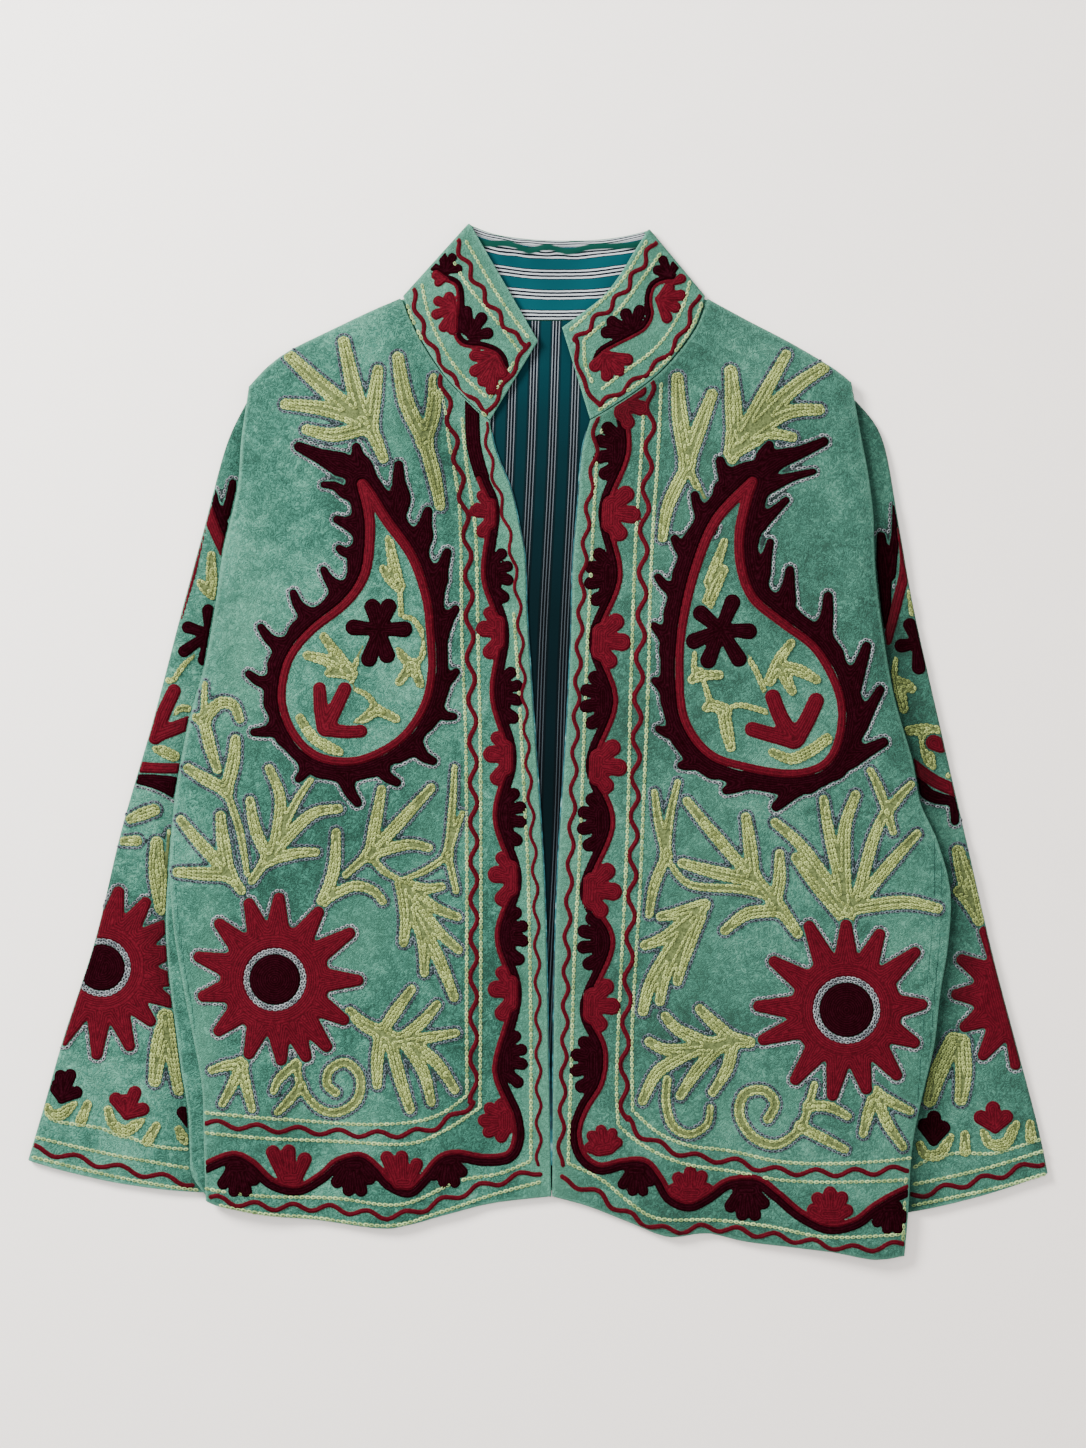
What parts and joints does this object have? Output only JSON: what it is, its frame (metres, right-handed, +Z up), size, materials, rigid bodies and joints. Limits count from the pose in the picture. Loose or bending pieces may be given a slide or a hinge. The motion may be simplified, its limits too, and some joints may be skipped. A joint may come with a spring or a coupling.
{
  "type": "embroidered velvet jacket",
  "caption": "Open-front velvet jacket with a stand collar and long sleeves, laid flat, embroidered with paisleys, sunbursts and vine borders, with a striped lining.",
  "frame": {"origin": "middle of the jacket's box, on the surface that it lies on", "axes": "+Z up out of the surface, +Y from hem to collar, +X to the wearer's left, with the fronts facing up"},
  "size_m": [0.7126, 0.7227, 0.0146],
  "materials": {
    "velvet": "crushed sea-green cotton velvet, pale at the worn edges",
    "striped_lining": "teal cotton with woven white and navy stripes"
  },
  "bodies": {
    "root": {"back": "velvet", "front_right": "velvet", "front_left": "velvet", "sleeve_right": "velvet", "sleeve_left": "velvet", "collar": "velvet", "collar_lining": "striped_lining", "back_lining": "striped_lining"}
  },
  "joints": []
}
